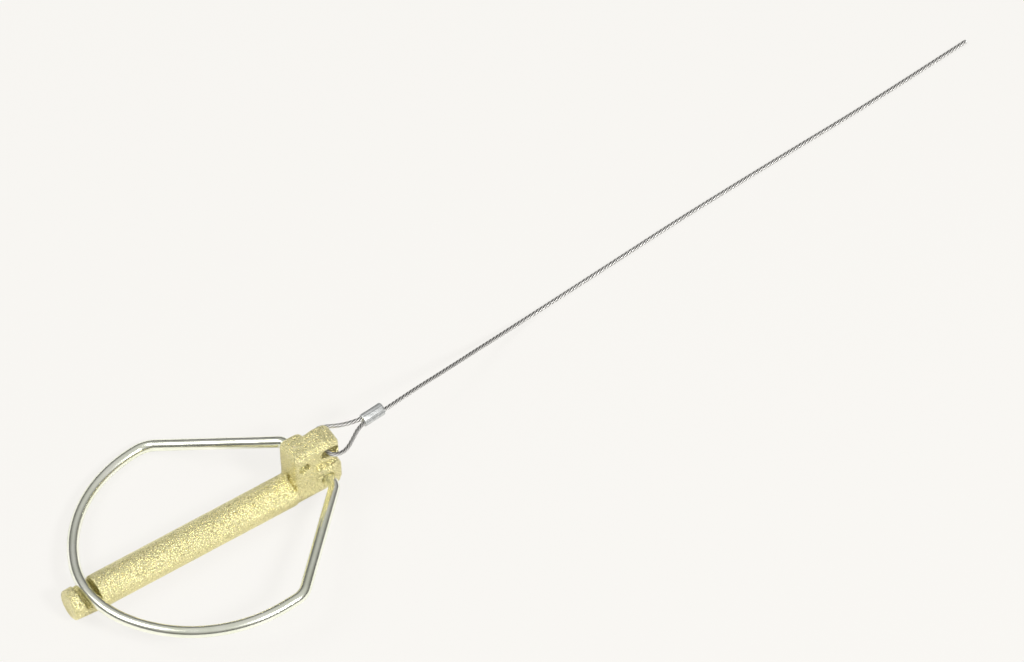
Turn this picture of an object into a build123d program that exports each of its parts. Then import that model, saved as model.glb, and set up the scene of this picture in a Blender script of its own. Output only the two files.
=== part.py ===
from build123d import *

import math
import os

# Lynch pin with a D-shaped spring ring and a wire-rope lanyard, in millimetres.
#
# The pin lies along X with its head towards +X. The origin is on the shank's axis at the
# shoulder, where the shank meets the head. Front is -Y and back is +Y. Round things roll, so
# the whole rests with the ring's back side on the surface that the shank lies on. The pin is
# made upright and then rolled about its own axis by PIN_ROLL; the ring's plane is rolled by
# RING_ROLL, and the rope is laid out directly as it rests.

# ---- pin ----
SHANK_R = 6.0
PIN_LEN = 86.4  # tip to shoulder
TIP_R = 5.5
TIP_ROUND = 0.8
NOTCH_FLOOR = 0.7  # height of the notch's flat above the axis
NOTCH_START = -81.6
NOTCH_END = -75.9
NOTCH_LEAN = 2.0  # how far the knob's wall leans back at the top

# ---- head ----
PLATE_T = 11.0
BLOCK_OUTLINE = [(0, -0.4), (0, 20.6), (9, 20.6), (9, -0.4)]
LOBE_OUTLINE = [(2, -0.4), (2, 9.2), (18.3, 9.2), (18.3, -0.4)]
LOBE_R = 5.6  # half-round underside of the head
EAR_OUTLINE = [(3.0, 12.2), (3.0, 20.4), (12.0, 22.3), (17.6, 21.7), (17.6, 12.2)]
EAR_BACK = 3.0  # the ear is thinner than the head, and level with its front
PAD_OUTLINE = [(7.8, 20.6), (12.4, 21.2), (16.4, 20.0), (16.6, 13.4), (10.8, 13.2), (8.8, 17)]
PAD_PROUD = 0.4  # how far the pad round the slot stands out from the ear
FACE_ROUND = 1.6
CORNER_ROUND = 2.8
EAR_CORNER_ROUND = 3.2
RELIEF_R = 9.6  # conical relief round the front half of the shank's root
RELIEF_DEPTH = 1.7
SLOT_X = (9.8, 16.9)
SLOT_H = 3.8
SLOT_Z = 17.2

# ---- ring ----
WIRE_R = 2.0
WIRE_SEAT = 3.25  # height of the wire's centre over the notch, on the pin's middle line
HOLE_R = WIRE_R + 0.06
FRONT_HOLE = (12.6, 2.8)  # x and z of the hole that takes the ring's front end
FRONT_HOLE_DEPTH = 7.0
BACK_HOLE = (3.6, 14.9)
SINK = 0.7  # countersink of the holes
RING_TIP = -78.9
RING_SHIFT = 2.15  # the arc's middle sits this far to the front
RING_YAW = -3.43
FRONT_TURNS = [(26.3, 37.9), (63.9, 49.4)]  # degrees turned and radius, nose then flank
BACK_TURNS = [(26.3, 33.4), (63.9, 48.6)]
FRONT_STRAIGHT = 7.0
BACK_STRAIGHT = 3.6
CORNER_R = 8.2
ROOT_BEND_R = 4.0
FRONT_ROOT_Y = -9.2
BACK_ROOT_Y = 8.2

# ---- rope and ferrule ----
ROPE_D = 1.5
FERRULE_LEN = 8.5
FERRULE_W = 4.5
FERRULE_H = 3.2

# ---- resting pose ----
PIN_ROLL = 6.0
RING_ROLL = 9.8


def on_pin(x, y, z):
    """A point given on the upright pin, as it lies once the pin has rolled."""
    roll = math.radians(PIN_ROLL)
    return (
        x,
        y * math.cos(roll) + z * math.sin(roll),
        z * math.cos(roll) - y * math.sin(roll),
    )


def on_ring(x, out):
    """A point of the ring's plane: out is the distance to the front of the pin's axis."""
    roll = math.radians(RING_ROLL)
    return (x, -out * math.cos(roll), WIRE_SEAT + out * math.sin(roll))


def slab(outline, front, back):
    """A slab with the given XZ outline, from y = front to y = back."""
    face = make_face(Polyline(*[(x, 0, z) for x, z in outline], close=True))
    return Pos(0, back, 0) * extrude(face, amount=back - front, dir=(0, -1, 0))


def rounded_slab(outline, front, back, corner):
    """A slab with round corners at its upper ends and soft edges round both faces."""
    block = slab(outline, front, back)
    middle = sum(z for x, z in outline) / len(outline)
    uppers = [e for e in block.edges().filter_by(Axis.Y) if e.center().Z > middle]
    block = fillet(uppers, corner)
    rims = [e for face in block.faces().filter_by(Axis.Y) for e in face.edges()]
    return fillet(rims, FACE_ROUND)


# ---- forged pin ----
def shank():
    """The round bar; it tapers from the notch to the tip, and runs on under the head."""
    profile = Polyline(
        (-PIN_LEN, 0),
        (-PIN_LEN, TIP_R - TIP_ROUND),
        (-PIN_LEN + TIP_ROUND * 0.6, TIP_R - 0.1),
        (NOTCH_END, SHANK_R),
        (0, SHANK_R),
        (0, LOBE_R),
        (LOBE_OUTLINE[2][0], LOBE_R),
        (LOBE_OUTLINE[2][0], 0),
        close=True,
    )
    bar = revolve(make_face(profile), Axis.X)
    rear = bar.edges().group_by(Axis.X)[-1]
    return fillet(rear, 2.5)


def notch():
    """The cross notch under the tip of the ring; its wall at the knob leans back."""
    top = SHANK_R + 2
    outline = [
        (NOTCH_START, NOTCH_FLOOR),
        (NOTCH_END, NOTCH_FLOOR),
        (NOTCH_END, top),
        (NOTCH_START - NOTCH_LEAN, top),
    ]
    return slab(outline, -SHANK_R - 1, SHANK_R + 1)


def head():
    """Rounded lumps that run into each other: block, lower lobe and slotted ear."""
    half = PLATE_T / 2
    web = [(7, 7), (15.2, 7), (15.2, 14), (7, 14)]
    return (
        rounded_slab(BLOCK_OUTLINE, -half, half, CORNER_ROUND)
        + rounded_slab(LOBE_OUTLINE, -half, half, CORNER_ROUND)
        + rounded_slab(EAR_OUTLINE, -half, EAR_BACK, EAR_CORNER_ROUND)
        + slab(PAD_OUTLINE, -half - PAD_PROUD, -half + 1)
        + slab(web, 1.7 - half, EAR_BACK - 0.8)
    )


def relief():
    """A shallow conical cut in the shoulder, round the front half of the shank's root."""
    cone = Rot(0, 90, 0) * Cone(RELIEF_R, SHANK_R, RELIEF_DEPTH)
    front_half = Pos(0, -2.3, 8) * Box(6, 5.2, 10)
    return Pos(RELIEF_DEPTH / 2 - 0.01, 0, 0) * cone & front_half


def rope_slot():
    length = SLOT_X[1] - SLOT_X[0]
    cut = extrude(Plane.XZ * SlotOverall(length, SLOT_H), amount=20, both=True)
    return Pos(sum(SLOT_X) / 2, 0, SLOT_Z) * cut


def ring_hole(place, front, back, mouth):
    """A hole along Y with a small countersink where the wire leaves it."""
    x, z = place
    hole = Pos(x, (front + back) / 2, z) * Rot(90, 0, 0) * Cylinder(HOLE_R, back - front)
    side = math.copysign(1, mouth)
    sink = Cone(HOLE_R, HOLE_R + 2 * SINK, 2 * SINK)
    return hole + Pos(x, mouth, z) * Rot(-90 * side, 0, 0) * sink


def forged_pin():
    half = PLATE_T / 2
    pin = shank() + (head() - relief())
    pin -= notch()
    pin -= rope_slot()
    pin -= ring_hole(FRONT_HOLE, -half - 1, FRONT_HOLE_DEPTH - half, -half)
    pin -= ring_hole(BACK_HOLE, -half - 1, half + 1, half)
    return pin.rotate(Axis.X, -PIN_ROLL)


# ---- spring ring ----
def ring_side(side, turns, straight):
    """Corner points and arc radii of one side of the ring, from its tip to its corner."""
    heading = math.radians(RING_YAW + side * 90)
    x, out = RING_TIP, RING_SHIFT
    points = []
    for turn, radius in turns:
        reach = radius * math.tan(math.radians(turn) / 2)
        x, out = x + reach * math.cos(heading), out + reach * math.sin(heading)
        points.append(on_ring(x, out))
        heading -= side * math.radians(turn)
        x, out = x + reach * math.cos(heading), out + reach * math.sin(heading)
    x, out = x + straight * math.cos(heading), out + straight * math.sin(heading)
    points.append(on_ring(x, out))
    return points, [0.99 * radius for turn, radius in turns] + [CORNER_R]


def spring_ring():
    """The D-shaped ring of round wire, with both ends turned into the holes of the head."""
    front, front_radii = ring_side(1, FRONT_TURNS, FRONT_STRAIGHT)
    back, back_radii = ring_side(-1, BACK_TURNS, BACK_STRAIGHT)
    front_end = [on_pin(FRONT_HOLE[0], y, FRONT_HOLE[1]) for y in (1.0, FRONT_ROOT_Y)]
    back_end = [on_pin(BACK_HOLE[0], y, BACK_HOLE[1]) for y in (BACK_ROOT_Y, -4.0)]
    points = front_end + front[::-1] + back + back_end
    radii = [ROOT_BEND_R] + front_radii[::-1] + back_radii + [ROOT_BEND_R]
    path = FilletPolyline(*points, radius=radii)
    return tube(path, WIRE_R), path


def tube(path, radius):
    return sweep((path ^ 0) * Circle(radius), path=path)


# ---- wire rope and ferrule ----
ROUTE = [
    (38.9, 4.3, 13.8),  # the tail's end, flush with the ferrule
    (34.8, 3.72, 14.22),
    (30.4, 3.2, 14.6),
    (26.0, 3.6, 15.1),
    (22.0, 4.4, 15.8),
    (18.4, 5.9, 16.3),  # behind the ear
    (14.8, 6.9, 16.8),
    (12.9, 4.2, 17.2),
    (12.7, -0.6, 17.6),  # in the slot
    (12.9, -5.2, 18.0),
    (17.2, -5.4, 15.9),  # in front of the ear
    (20.6, -4.2, 15.2),
    (23.8, -2.1, 15.0),
    (27.3, 0.4, 14.6),
    (30.8, 2.0, 13.4),  # into the ferrule again
    (39.1, 3.1, 12.6),
    (53.9, 6.2, 9.5),
    (67.8, 9.4, 5.0),
    (81.8, 12.8, 0.5),
    (95.6, 15.6, -3.0),
    (108.8, 17.6, -4.8),
    (121.4, 18.9, -5.2),  # from here on the surface
    (146.6, 21.2, -5.2),
    (171.9, 23.6, -5.2),
    (197.3, 25.4, -5.2),
    (222.9, 27.1, -5.2),
    (248.7, 28.6, -5.2),
    (274.7, 30.7, -5.2),
    (300.9, 33.1, -5.2),
]


def route_radii(points):
    """The largest arc that the two runs at each corner allow."""
    radii = []
    for before, here, after in zip(points, points[1:], points[2:]):
        come = Vector(*here) - Vector(*before)
        go = Vector(*after) - Vector(*here)
        half_turn = math.radians(come.get_angle(go)) / 2
        radii.append(0.45 * min(come.length, go.length) / math.tan(half_turn))
    return radii


def wire_rope():
    radii = route_radii(ROUTE)
    print("rope arc radii", [round(r, 1) for r in radii])
    path = FilletPolyline(*ROUTE, radius=radii)
    return tube(path, ROPE_D / 2), path


def ferrule():
    """An oval sleeve crimped round the two runs of rope, before the rope is cut out of it."""
    left = (Vector(*ROUTE[2]) + Vector(*ROUTE[14])) * 0.5
    right = (Vector(*ROUTE[0]) + Vector(*ROUTE[15])) * 0.5
    across = Vector(*ROUTE[2]) - Vector(*ROUTE[14])
    plane = Plane(origin=(left + right) * 0.5, x_dir=across, z_dir=right - left)
    oval = plane * SlotOverall(FERRULE_W, FERRULE_H)
    body = extrude(oval, amount=FERRULE_LEN / 2, both=True)
    return fillet(body.faces().sort_by(Axis.X)[0].edges(), 0.3)


def main():
    os.makedirs("parts", exist_ok=True)
    ring, ring_path = spring_ring()
    rope, rope_path = wire_rope()
    print("ring length", round(ring_path.length, 1), "volume", round(ring.volume, 1))
    print("rope length", round(rope_path.length, 1), "volume", round(rope.volume, 1))
    print("rope section x length", round(math.pi * ROPE_D**2 / 4 * rope_path.length, 1))
    pieces = {
        "forged_pin": forged_pin(),
        "spring_ring": ring,
        "wire_rope": rope,
        "ferrule": ferrule() - rope,
    }
    for name, shape in pieces.items():
        export_step(shape, f"parts/{name}.step")


main()
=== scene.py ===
# %% [markdown]
# # A lynch pin with a spring ring and a wire-rope lanyard
# The pin is a drop-forged steel bar with a flat head. A D-shaped ring of spring wire hangs in
# two holes of the head and snaps down over the tip. A thin stranded rope is looped through an
# ear of the head and closed with a crimped sleeve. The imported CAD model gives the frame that
# everything here is built in: metres, +Z up, the head at +X and the tip at -X.

import math

import bmesh
import bpy
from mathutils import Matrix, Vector


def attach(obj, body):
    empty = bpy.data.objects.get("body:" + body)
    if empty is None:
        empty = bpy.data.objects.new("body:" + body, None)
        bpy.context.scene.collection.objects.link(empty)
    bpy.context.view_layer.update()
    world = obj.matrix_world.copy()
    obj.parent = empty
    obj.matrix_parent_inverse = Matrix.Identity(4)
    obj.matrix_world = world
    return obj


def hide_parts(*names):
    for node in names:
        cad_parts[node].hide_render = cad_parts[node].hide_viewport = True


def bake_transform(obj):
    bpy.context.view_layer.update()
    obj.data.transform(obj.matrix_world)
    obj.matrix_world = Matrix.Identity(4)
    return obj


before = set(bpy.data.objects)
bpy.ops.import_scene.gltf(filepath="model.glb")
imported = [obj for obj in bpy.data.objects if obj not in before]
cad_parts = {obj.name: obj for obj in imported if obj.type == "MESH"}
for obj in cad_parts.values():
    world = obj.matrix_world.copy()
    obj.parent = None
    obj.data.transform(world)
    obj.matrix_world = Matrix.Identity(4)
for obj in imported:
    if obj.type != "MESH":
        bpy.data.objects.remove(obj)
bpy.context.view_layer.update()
MM = 0.001
print("CAD nodes:", sorted(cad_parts))

# %% [markdown]
# ## Camera
# A long lens far away keeps parallel edges almost parallel, as in a catalogue picture. The
# camera looks down steeply from the front left. The shift slides the picture without turning
# the camera, so the pin sits at the lower left and the rope has room to run to the upper right.

# %% Camera
AZIMUTH, ELEVATION = math.radians(-31.7), math.radians(59.4)
DISTANCE = 2.1667
TARGET = Vector((-0.040, 0, 0))
back = Vector(
    (
        math.sin(AZIMUTH) * math.cos(ELEVATION),
        -math.cos(AZIMUTH) * math.cos(ELEVATION),
        math.sin(ELEVATION),
    )
)
lens = bpy.data.cameras.new("camera")
lens.sensor_width, lens.lens = 36, 228.5
lens.shift_x, lens.shift_y = 0.3172, 0.2073
lens.clip_start, lens.clip_end = 0.1, 20
camera = bpy.data.objects.new("camera", lens)
camera.location = TARGET + back * DISTANCE
camera.rotation_mode = "QUATERNION"
camera.rotation_quaternion = (-back).to_track_quat("-Z", "Y")
bpy.context.scene.collection.objects.link(camera)
bpy.context.scene.camera = camera
print("camera at", [round(v, 3) for v in camera.location])

# %% [markdown]
# ## The rope's line
# The lanyard is one rope, 1.5 mm thick: its tail starts in the sleeve, goes round the back of
# the ear, through the slot and back into the sleeve, and the rest runs out along the table to
# a bare cut end. A NURBS curve of order three through these control points bends smoothly and
# stays close to the polygon. It only gives the line; the strands are laid round it later.

# %% Rope line
ROPE_D = 1.5 * MM
ROPE_ROUTE = [
    (38.9, 4.3, 13.8),
    (34.8, 3.72, 14.22),
    (30.4, 3.2, 14.6),
    (26.0, 3.6, 15.1),
    (22.0, 4.4, 15.8),
    (18.4, 5.9, 16.3),
    (14.8, 6.9, 16.8),
    (12.9, 4.2, 17.2),
    (12.7, -0.6, 17.6),
    (12.9, -5.2, 18.0),
    (17.2, -5.4, 15.9),
    (20.6, -4.2, 15.2),
    (23.8, -2.1, 15.0),
    (27.3, 0.4, 14.6),
    (30.8, 2.0, 13.4),
    (39.1, 3.1, 12.6),
    (53.9, 6.2, 9.5),
    (67.8, 9.4, 5.0),
    (81.8, 12.8, 0.5),
    (95.6, 15.6, -3.0),
    (108.8, 17.6, -4.8),
    (121.4, 18.9, -5.2),
    (146.6, 21.2, -5.2),
    (171.9, 23.6, -5.2),
    (197.3, 25.4, -5.2),
    (222.9, 27.1, -5.2),
    (248.7, 28.6, -5.2),
    (274.7, 30.7, -5.2),
    (300.9, 33.1, -5.2),
]


def mm_points(points):
    return [Vector(p) * MM for p in points]


def rope_line():
    curve = bpy.data.curves.new("rope_line", "CURVE")
    curve.dimensions = "3D"
    spline = curve.splines.new("NURBS")
    spline.points.add(len(ROPE_ROUTE) - 1)
    for point, place in zip(spline.points, mm_points(ROPE_ROUTE)):
        point.co = (*place, 1)
    spline.order_u = 3
    spline.use_endpoint_u = True
    spline.resolution_u = 16
    holder = bpy.data.objects.new("rope_line", curve)
    bpy.context.scene.collection.objects.link(holder)
    bpy.context.view_layer.update()
    mesh = bpy.data.meshes.new_from_object(holder.evaluated_get(bpy.context.evaluated_depsgraph_get()))
    line = [v.co.copy() for v in mesh.vertices]
    bpy.data.objects.remove(holder)
    bpy.data.meshes.remove(mesh)
    return line


def length_of(line):
    return sum((b - a).length for a, b in zip(line, line[1:]))


rope_points = rope_line()

# %% [markdown]
# ## Finishes
# Metal looks the way it does because of what it reflects, so each finish is a metallic colour and a roughness,
# and the rest is in the surface. The rope's colour also holds painted shade, dark between its strands. Noise on
# Object coordinates is fixed to the
# piece and has the same grain everywhere, in millimetres, whatever the piece's size. The
# forging is rough at two scales: slow stains in the plating and a fine glittering grain.


# %% Material helpers
def new_material(name):
    material = bpy.data.materials.new(name)
    material.use_nodes = True
    nodes, links = material.node_tree.nodes, material.node_tree.links
    return material, nodes, links, nodes["Principled BSDF"]


def object_noise(nodes, links, scale, detail=4.0, rough=0.6):
    where = nodes.new("ShaderNodeTexCoord")
    noise = nodes.new("ShaderNodeTexNoise")
    noise.inputs["Scale"].default_value = scale
    noise.inputs["Detail"].default_value = detail
    noise.inputs["Roughness"].default_value = rough
    links.new(where.outputs["Object"], noise.inputs["Vector"])
    return noise.outputs["Fac"]


def ramp(nodes, links, source, stops):
    node = nodes.new("ShaderNodeValToRGB")
    band = node.color_ramp
    while len(band.elements) < len(stops):
        band.elements.new(0.5)
    for element, (place, colour) in zip(band.elements, stops):
        element.position = place
        element.color = (*colour, 1)
    links.new(source, node.inputs["Fac"])
    return node.outputs["Color"]


def bump(nodes, links, height, distance, strength=1.0):
    node = nodes.new("ShaderNodeBump")
    node.inputs["Distance"].default_value = distance
    node.inputs["Strength"].default_value = strength
    links.new(height, node.inputs["Height"])
    return node.outputs["Normal"]


# %% Finishes
def forged_zinc():
    """Pale yellow zinc plating over a shot-blasted forging."""
    material, nodes, links, shader = new_material("forged_zinc")
    shader.inputs["Metallic"].default_value = 1.0
    stains = object_noise(nodes, links, 500, 5, 0.75)
    tint = ramp(
        nodes,
        links,
        stains,
        [
            (0.28, (0.78, 0.76, 0.56)),
            (0.40, (0.97, 0.90, 0.50)),
            (0.58, (1.0, 0.93, 0.52)),
            (0.72, (1.0, 0.88, 0.60)),
        ],
    )
    grain = object_noise(nodes, links, 3000, 2, 0.6)
    sparkle = ramp(nodes, links, grain, [(0.34, (0.60, 0.57, 0.46)), (0.60, (1.0, 1.0, 1.0))])
    blend = nodes.new("ShaderNodeMix")
    blend.data_type, blend.blend_type = "RGBA", "MULTIPLY"
    blend.inputs["Factor"].default_value = 1.0
    links.new(tint, blend.inputs[6])
    links.new(sparkle, blend.inputs[7])
    links.new(blend.outputs[2], shader.inputs["Base Color"])
    gloss = ramp(nodes, links, grain, [(0.35, (0.16, 0.16, 0.16)), (0.65, (0.36, 0.36, 0.36))])
    links.new(gloss, shader.inputs["Roughness"])
    links.new(bump(nodes, links, grain, 0.0004, 1.0), shader.inputs["Normal"])
    return material


def bright_zinc():
    """Smooth bright zinc on drawn spring wire."""
    material, nodes, links, shader = new_material("bright_zinc")
    shader.inputs["Metallic"].default_value = 1.0
    shader.inputs["Roughness"].default_value = 0.24
    haze = object_noise(nodes, links, 90, 3, 0.5)
    tint = ramp(nodes, links, haze, [(0.35, (0.80, 0.82, 0.68)), (0.65, (0.90, 0.90, 0.80))])
    links.new(tint, shader.inputs["Base Color"])
    return material


def galvanised_wire():
    material, nodes, links, shader = new_material("galvanised_wire")
    shader.inputs["Metallic"].default_value = 0.9
    shader.inputs["Roughness"].default_value = 0.42
    # The base colour is painted shade: near black deep between the strands, light grey on their outer crests.
    gap_shade = nodes.new("ShaderNodeAttribute")
    gap_shade.attribute_name = "gap_shade"
    gap_shade_tones = [(0.72, (0.03, 0.03, 0.027)), (0.86, (0.34, 0.33, 0.31)), (0.96, (0.62, 0.61, 0.59))]
    tint = ramp(nodes, links, gap_shade.outputs["Fac"], gap_shade_tones)
    links.new(tint, shader.inputs["Base Color"])
    return material


def plain_aluminium():
    material, nodes, links, shader = new_material("plain_aluminium")
    shader.inputs["Metallic"].default_value = 0.9
    shader.inputs["Roughness"].default_value = 0.38
    scuffs = object_noise(nodes, links, 700, 3, 0.6)
    tint = ramp(nodes, links, scuffs, [(0.3, (0.46, 0.47, 0.46)), (0.7, (0.66, 0.67, 0.66))])
    links.new(tint, shader.inputs["Base Color"])
    return material


FORGED_ZINC, BRIGHT_ZINC = forged_zinc(), bright_zinc()
GALVANISED, ALUMINIUM = galvanised_wire(), plain_aluminium()
print("finishes:", [m.name for m in (FORGED_ZINC, BRIGHT_ZINC, GALVANISED, ALUMINIUM)])

# %% [markdown]
# ## The forging
# A drop forging has no crisp corners: the die leaves every edge soft and the skin slightly
# lumpy. The CAD solid has the right shape but clean faces. A voxel remesh turns it into an even
# skin, which a little smoothing softens and a fine noise then roughens, so that the grain is in
# the mesh and not only in the finish.


# %% Forged pin
def plain_copy(node, name):
    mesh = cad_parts[node].data.copy()
    shape = bmesh.new()
    shape.from_mesh(mesh)
    bmesh.ops.remove_doubles(shape, verts=shape.verts, dist=1e-6)
    shape.to_mesh(mesh)
    shape.free()
    copy = bpy.data.objects.new(name, mesh)
    bpy.context.scene.collection.objects.link(copy)
    return copy


def baked(obj, material):
    """The object's modifiers made part of its mesh."""
    bpy.context.view_layer.update()
    result = obj.evaluated_get(bpy.context.evaluated_depsgraph_get())
    mesh = bpy.data.meshes.new_from_object(result)
    obj.modifiers.clear()
    obj.data = mesh
    mesh.materials.clear()
    mesh.materials.append(material)
    mesh.polygons.foreach_set("use_smooth", [True] * len(mesh.polygons))
    mesh.polygons.foreach_set("material_index", [0] * len(mesh.polygons))
    mesh.update()
    print(obj.name, len(mesh.polygons), "faces")
    return obj


def lumps(name, size, depth):
    texture = bpy.data.textures.new(name, "CLOUDS")
    texture.noise_scale = size
    texture.noise_depth = depth
    return texture


def displace(obj, texture, strength):
    modifier = obj.modifiers.new(texture.name, "DISPLACE")
    modifier.texture = texture
    modifier.texture_coords = "LOCAL"
    modifier.strength = strength
    modifier.mid_level = 0.5


def forged_pin():
    pin = plain_copy("forged_pin", "forging")
    skin = pin.modifiers.new("skin", "REMESH")
    skin.mode = "VOXEL"
    skin.voxel_size = 0.30 * MM
    soften = pin.modifiers.new("soften", "SMOOTH")
    soften.factor, soften.iterations = 0.5, 4
    displace(pin, lumps("die_lumps", 4.0 * MM, 1), 0.08 * MM)
    displace(pin, lumps("blast_grain", 0.6 * MM, 1), 0.09 * MM)
    return baked(pin, FORGED_ZINC)


forging = forged_pin()
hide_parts("forged_pin")
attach(forging, "pin")

# %% [markdown]
# ## The spring ring
# The ring is one round wire. Its line is a polygon with rounded corners: two short ends in the holes, a tight
# bend at each root, a straight arm, a corner, and then three wide arcs that make the D. A curve with a round
# bevel gives a smooth tube. The holes for its two ends are not in line, so the real ring has to flex as it
# swings, which is what makes it snap. Here the long back arm is a piece of its own, running from the pin to the
# ring and given to neither body.

# %% Ring line
WIRE_R = 2.0 * MM
PIN_ROLL, RING_ROLL = math.radians(6.0), math.radians(9.8)
RING_YAW = math.radians(-3.43)
RING_TIP = (-78.9, 2.15)
FRONT_TURNS = [(26.3, 37.9), (63.9, 49.4)]
BACK_TURNS = [(26.3, 33.4), (63.9, 48.6)]
CORNER_R, ROOT_BEND_R = 8.2, 4.0
BACK_ARM_TO = 36.0


def on_pin(x, y, z):
    c, s = math.cos(PIN_ROLL), math.sin(PIN_ROLL)
    return Vector((x, y * c + z * s, z * c - y * s))


def on_ring(x, out):
    return Vector((x, -out * math.cos(RING_ROLL), 3.25 + out * math.sin(RING_ROLL)))


def ring_side(side, turns, straight):
    heading = RING_YAW + side * math.pi / 2
    x, out = RING_TIP
    corners = []
    for turn, radius in turns:
        reach = radius * math.tan(math.radians(turn) / 2)
        x, out = x + reach * math.cos(heading), out + reach * math.sin(heading)
        corners.append((on_ring(x, out), radius * 0.99))
        heading -= side * math.radians(turn)
        x, out = x + reach * math.cos(heading), out + reach * math.sin(heading)
    x, out = x + straight * math.cos(heading), out + straight * math.sin(heading)
    corners.append((on_ring(x, out), CORNER_R))
    return corners


def rounded_line(corners, step=math.radians(3)):
    """Points along a polygon whose corners are arcs; each corner is a point and a radius."""
    line = [corners[0][0]]
    for (a, _), (b, radius), (c, _) in zip(corners, corners[1:], corners[2:]):
        come, go = (b - a).normalized(), (c - b).normalized()
        turn = come.angle(go)
        start = b - come * radius * math.tan(turn / 2)
        inward = (go - come * come.dot(go)).normalized()
        for i in range(max(2, int(turn / step)) + 1):
            t = turn * i / max(2, int(turn / step))
            line.append(start + come * radius * math.sin(t) + inward * radius * (1 - math.cos(t)))
    line.append(corners[-1][0])
    return [p * MM for p in line]


def ring_line():
    front, rear = ring_side(1, FRONT_TURNS, 7.0), ring_side(-1, BACK_TURNS, 3.6)
    start = [(on_pin(12.6, 1.0, 2.8), 0), (on_pin(12.6, -9.2, 2.8), ROOT_BEND_R)]
    end = [(on_pin(3.6, 8.2, 14.9), ROOT_BEND_R), (on_pin(3.6, -4.0, 14.9), 0)]
    return rounded_line(start + front[::-1] + rear + end)


def evenly(line, step):
    """The same line with extra points on its long straight runs."""
    points = [line[0]]
    for a, b in zip(line, line[1:]):
        parts = max(1, math.ceil((b - a).length / step))
        points += [a.lerp(b, i / parts) for i in range(1, parts + 1)]
    return points


# %% Ring pieces
def round_wire(name, line, radius, material):
    curve = bpy.data.curves.new(name, "CURVE")
    curve.dimensions = "3D"
    curve.bevel_depth = radius
    curve.bevel_resolution = 8
    curve.use_fill_caps = True
    spline = curve.splines.new("POLY")
    spline.points.add(len(line) - 1)
    for point, place in zip(spline.points, line):
        point.co = (*place, 1)
    holder = bpy.data.objects.new(name, curve)
    bpy.context.scene.collection.objects.link(holder)
    bpy.context.view_layer.update()
    mesh = bpy.data.meshes.new_from_object(holder.evaluated_get(bpy.context.evaluated_depsgraph_get()))
    bpy.data.objects.remove(holder)
    shape = bmesh.new()
    shape.from_mesh(mesh)
    bmesh.ops.remove_doubles(shape, verts=shape.verts, dist=1e-7)
    bmesh.ops.recalc_face_normals(shape, faces=shape.faces)
    shape.to_mesh(mesh)
    shape.free()
    mesh.materials.clear()
    mesh.materials.append(material)
    mesh.polygons.foreach_set("use_smooth", [True] * len(mesh.polygons))
    mesh.set_sharp_from_angle(angle=math.radians(50))
    wire = bpy.data.objects.new(name, mesh)
    bpy.context.scene.collection.objects.link(wire)
    print(name, len(mesh.polygons), "faces")
    return wire


ring_points = evenly(ring_line(), 1.5 * MM)
past_tip = [i for i, p in enumerate(ring_points) if p.y > 0 and p.x < -0.04][0]
arm_start = [i for i, p in enumerate(ring_points) if i > past_tip and p.x > -0.03 and p.y < BACK_ARM_TO * MM][0]
ring_wire = round_wire("ring_wire", ring_points[: arm_start + 1], WIRE_R, BRIGHT_ZINC)
ring_arm = round_wire("ring_back_arm", ring_points[arm_start:], WIRE_R, BRIGHT_ZINC)
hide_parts("spring_ring")
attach(ring_wire, "ring")
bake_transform(ring_arm)
print("ring line", round(length_of(ring_points) / MM, 1), "mm")

# %% [markdown]
# ## The rope's strands
# A wire rope is a few strands laid round a core. Geometry Nodes suit this, because one rule
# makes them all: copy the rope's line once for each strand, push each copy sideways by the strand's
# radius in a direction that turns with the distance along the rope, and give it a thickness.
# The strands' own shape shades the gaps between them, and the rope's colour adds painted shade there too, taken
# from each point's height above the line.

# %% Strand tree
STRANDS = 5
ROPE_LAY = 8.5 * MM
pinch = math.sin(math.pi / STRANDS)
STRAND_R = ROPE_D / 2 * pinch / (1 + pinch)
STRAND_OFFSET = ROPE_D / 2 - STRAND_R


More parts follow.
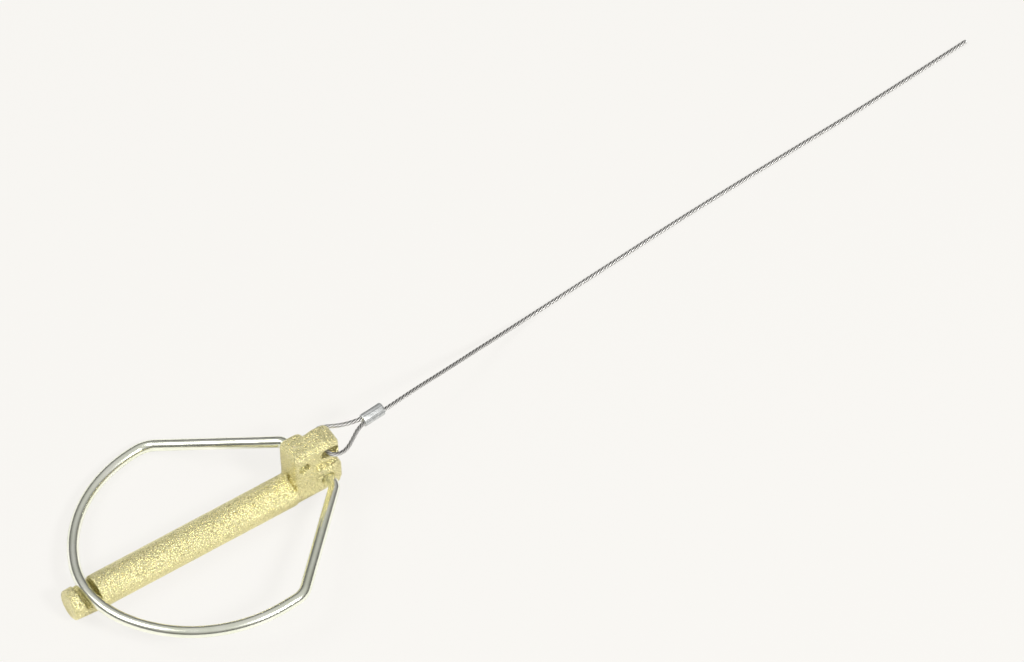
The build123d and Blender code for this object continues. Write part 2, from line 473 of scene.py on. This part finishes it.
def strand_tree(material):
    tree = bpy.data.node_groups.new("laid_rope", "GeometryNodeTree")
    tree.is_modifier = True
    face = tree.interface
    face.new_socket("Geometry", in_out="INPUT", socket_type="NodeSocketGeometry")
    for name in ("Strand radius", "Strand offset", "Lay"):
        face.new_socket(name, in_out="INPUT", socket_type="NodeSocketFloat")
    face.new_socket("Geometry", in_out="OUTPUT", socket_type="NodeSocketGeometry")
    nodes, links = tree.nodes, tree.links

    def node(kind, **values):
        made = nodes.new(kind)
        for key, value in values.items():
            setattr(made, key, value)
        return made

    def math_node(operation, a, b):
        made = node("ShaderNodeMath", operation=operation)
        for socket, value in zip(made.inputs, (a, b)):
            if isinstance(value, (int, float)):
                socket.default_value = value
            else:
                links.new(value, socket)
        return made.outputs[0]

    sizes, result = node("NodeGroupInput"), node("NodeGroupOutput")
    radius, lay = sizes.outputs["Strand radius"], sizes.outputs["Lay"]
    offset = sizes.outputs["Strand offset"]
    line = node("GeometryNodeMeshToCurve")
    links.new(sizes.outputs["Geometry"], line.inputs["Mesh"])
    spaced = node("GeometryNodeResampleCurve")
    spaced.inputs["Count"].default_value = 700
    links.new(line.outputs["Curve"], spaced.inputs["Curve"])
    copies = node("GeometryNodeDuplicateElements", domain="SPLINE")
    copies.inputs["Amount"].default_value = STRANDS
    links.new(spaced.outputs["Curve"], copies.inputs["Geometry"])
    kept = node("GeometryNodeStoreNamedAttribute", data_type="FLOAT", domain="CURVE")
    kept.inputs["Name"].default_value = "strand"
    links.new(copies.outputs["Geometry"], kept.inputs["Geometry"])
    links.new(copies.outputs["Duplicate Index"], kept.inputs["Value"])
    which = node("GeometryNodeInputNamedAttribute", data_type="FLOAT")
    which.inputs["Name"].default_value = "strand"
    along = node("GeometryNodeSplineParameter")
    turns = math_node("DIVIDE", along.outputs["Length"], lay)
    share = math_node("DIVIDE", which.outputs["Attribute"], STRANDS)
    angle = math_node("MULTIPLY", math_node("ADD", turns, share), -2 * math.pi)
    aim = node("ShaderNodeVectorRotate")
    links.new(node("GeometryNodeInputNormal").outputs["Normal"], aim.inputs["Vector"])
    links.new(node("GeometryNodeInputTangent").outputs["Tangent"], aim.inputs["Axis"])
    links.new(angle, aim.inputs["Angle"])
    push = node("ShaderNodeVectorMath", operation="SCALE")
    links.new(aim.outputs["Vector"], push.inputs[0])
    links.new(offset, push.inputs["Scale"])
    moved = node("GeometryNodeSetPosition")
    links.new(kept.outputs["Geometry"], moved.inputs["Geometry"])
    links.new(push.outputs["Vector"], moved.inputs["Offset"])
    both = node("GeometryNodeJoinGeometry")
    links.new(spaced.outputs["Curve"], both.inputs["Geometry"])
    links.new(moved.outputs["Geometry"], both.inputs["Geometry"])
    section = node("GeometryNodeCurvePrimitiveCircle")
    section.inputs["Resolution"].default_value = 12
    links.new(radius, section.inputs["Radius"])
    tubes = node("GeometryNodeCurveToMesh")
    tubes.inputs["Fill Caps"].default_value = True
    links.new(both.outputs["Geometry"], tubes.inputs["Curve"])
    links.new(section.outputs["Curve"], tubes.inputs["Profile Curve"])
    # Each point's height above the rope's line, stored for the painted shade between the strands.
    near = node("GeometryNodeProximity", target_element="EDGES")
    links.new(sizes.outputs["Geometry"], near.inputs[0])
    gap_shade = node("GeometryNodeStoreNamedAttribute", data_type="FLOAT", domain="POINT")
    gap_shade.inputs["Name"].default_value = "gap_shade"
    links.new(tubes.outputs["Mesh"], gap_shade.inputs["Geometry"])
    gap_shade_height = math_node("DIVIDE", near.outputs["Distance"], math_node("ADD", radius, offset))
    links.new(gap_shade_height, gap_shade.inputs["Value"])
    real = node("GeometryNodeRealizeInstances")
    links.new(gap_shade.outputs["Geometry"], real.inputs["Geometry"])
    coat = node("GeometryNodeSetMaterial")
    coat.inputs["Material"].default_value = material
    links.new(real.outputs["Geometry"], coat.inputs["Geometry"])
    links.new(coat.outputs["Geometry"], result.inputs["Geometry"])
    return tree


# %% Rope
def laid_rope(name, line, material):
    mesh = bpy.data.meshes.new(name)
    mesh.from_pydata(line, [(i, i + 1) for i in range(len(line) - 1)], [])
    rope = bpy.data.objects.new(name, mesh)
    bpy.context.scene.collection.objects.link(rope)
    tree = strand_tree(material)
    lay_up = rope.modifiers.new("lay_up", "NODES")
    lay_up.node_group = tree
    sockets = {s.name: s.identifier for s in tree.interface.items_tree if s.in_out == "INPUT"}
    lay_up[sockets["Strand radius"]] = STRAND_R
    lay_up[sockets["Strand offset"]] = STRAND_OFFSET
    lay_up[sockets["Lay"]] = ROPE_LAY
    return baked(rope, material)


rope = laid_rope("lanyard_rope", rope_points, GALVANISED)
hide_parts("wire_rope")
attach(rope, "pin")

# %% [markdown]
# ## The crimped sleeve
# The sleeve is a short oval tube, squeezed in a tool that leaves ridges along it. Rings of
# points round its axis, joined into a tube, allow a ripple in the outline, and the rounded
# ends close down on the rope.

# %% Sleeve
SLEEVE_FROM, SLEEVE_TO = Vector((30.45, 2.6, 14.0)) * MM, Vector((39.2, 3.72, 13.2)) * MM
SLEEVE_HALF_W, SLEEVE_HALF_H = 2.3 * MM, 1.6 * MM
SLEEVE_RIPPLE = 0.05 * MM
SLEEVE_RIDGES = 12


def sleeve(name, material):
    axis = (SLEEVE_TO - SLEEVE_FROM).normalized()
    wide = (Vector((0, 1, 1)) - axis * axis.dot(Vector((0, 1, 1)))).normalized()
    high = axis.cross(wide)
    around = 144
    stations = [(0, 0.55), (0.0, 0.8), (0.02, 0.92), (0.05, 0.98), (0.1, 1), (0.5, 0.98)]
    stations += [(1 - t, s) for t, s in stations[-2::-1]]
    points, faces = [], []
    for t, scale in stations:
        centre = SLEEVE_FROM.lerp(SLEEVE_TO, t)
        for i in range(around):
            turn = 2 * math.pi * i / around
            ripple = SLEEVE_RIPPLE * math.cos(SLEEVE_RIDGES * turn)
            across = (SLEEVE_HALF_W * scale + ripple) * math.cos(turn)
            up = (SLEEVE_HALF_H * scale + ripple) * math.sin(turn)
            points.append(centre + wide * across + high * up)
    for row in range(len(stations) - 1):
        for i in range(around):
            j = (i + 1) % around
            a, b = row * around, (row + 1) * around
            faces.append((a + i, a + j, b + j, b + i))
    faces.append(tuple(range(around))[::-1])
    faces.append(tuple(range((len(stations) - 1) * around, len(stations) * around)))
    mesh = bpy.data.meshes.new(name)
    mesh.from_pydata(points, [], faces)
    shape = bmesh.new()
    shape.from_mesh(mesh)
    bmesh.ops.recalc_face_normals(shape, faces=shape.faces)
    shape.to_mesh(mesh)
    shape.free()
    mesh.materials.append(material)
    mesh.polygons.foreach_set("use_smooth", [True] * len(mesh.polygons))
    tube = bpy.data.objects.new(name, mesh)
    bpy.context.scene.collection.objects.link(tube)
    return tube


crimp = sleeve("crimp_sleeve", ALUMINIUM)
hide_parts("ferrule")
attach(crimp, "pin")

# %% [markdown]
# ## Table and light
# The pin lies on a pale table under wide, soft light. Bright metal mirrors its surroundings, so
# the sky is darker near the horizon than overhead: that puts a soft highlight along the top of
# the wire and a darker streak beside it.

# %% Table
PAPER = (0.922, 0.905, 0.871)


def table():
    mesh = bpy.data.meshes.new("table")
    half, low = 6.0, -6.0 * MM
    mesh.from_pydata([(-half, -half, low), (half, -half, low), (half, half, low), (-half, half, low)], [], [(0, 1, 2, 3)])
    top = bpy.data.objects.new("table", mesh)
    bpy.context.scene.collection.objects.link(top)
    material, nodes, links, shader = new_material("pale_table")
    shader.inputs["Base Color"].default_value = (0.88, 0.87, 0.85, 1)
    shader.inputs["Roughness"].default_value = 0.9
    glow = nodes.new("ShaderNodeEmission")
    glow.inputs["Color"].default_value = (*PAPER, 1)
    ray = nodes.new("ShaderNodeLightPath")
    share = nodes.new("ShaderNodeMath")
    share.operation = "MULTIPLY"
    share.inputs[1].default_value = 0.9
    mix = nodes.new("ShaderNodeMixShader")
    links.new(ray.outputs["Is Camera Ray"], share.inputs[0])
    links.new(share.outputs[0], mix.inputs[0])
    links.new(shader.outputs[0], mix.inputs[1])
    links.new(glow.outputs[0], mix.inputs[2])
    links.new(mix.outputs[0], nodes["Material Output"].inputs["Surface"])
    mesh.materials.append(material)
    return top


table()

# %% Light
scene = bpy.context.scene
scene.view_settings.view_transform = "Standard"
sky = bpy.data.worlds.new("sky")
sky.use_nodes = True
scene.world = sky
sky_nodes, sky_links = sky.node_tree.nodes, sky.node_tree.links
where = sky_nodes.new("ShaderNodeTexCoord")
split = sky_nodes.new("ShaderNodeSeparateXYZ")
sky_links.new(where.outputs["Generated"], split.inputs[0])
shades = ramp(
    sky_nodes,
    sky_links,
    split.outputs["Z"],
    [
        (0.0, (0.25, 0.25, 0.25)),
        (0.1, (0.03, 0.03, 0.03)),
        (0.3, (0.25, 0.25, 0.25)),
        (0.55, (0.55, 0.55, 0.55)),
        (0.75, (0.95, 0.95, 0.95)),
    ],
)
sky_links.new(shades, sky_nodes["Background"].inputs["Color"])
sky_nodes["Background"].inputs["Strength"].default_value = 0.70


def soft_lamp(name, place, size, power):
    light = bpy.data.lights.new(name, "AREA")
    light.size, light.energy = size, power
    lamp = bpy.data.objects.new(name, light)
    lamp.location = place
    lamp.rotation_mode = "QUATERNION"
    lamp.rotation_quaternion = (TARGET - Vector(place)).to_track_quat("-Z", "Y")
    scene.collection.objects.link(lamp)


soft_lamp("window", (-0.9, 0.5, 1.3), 0.8, 11)
soft_lamp("fill", (0.35, -0.95, 1.1), 0.3, 15)
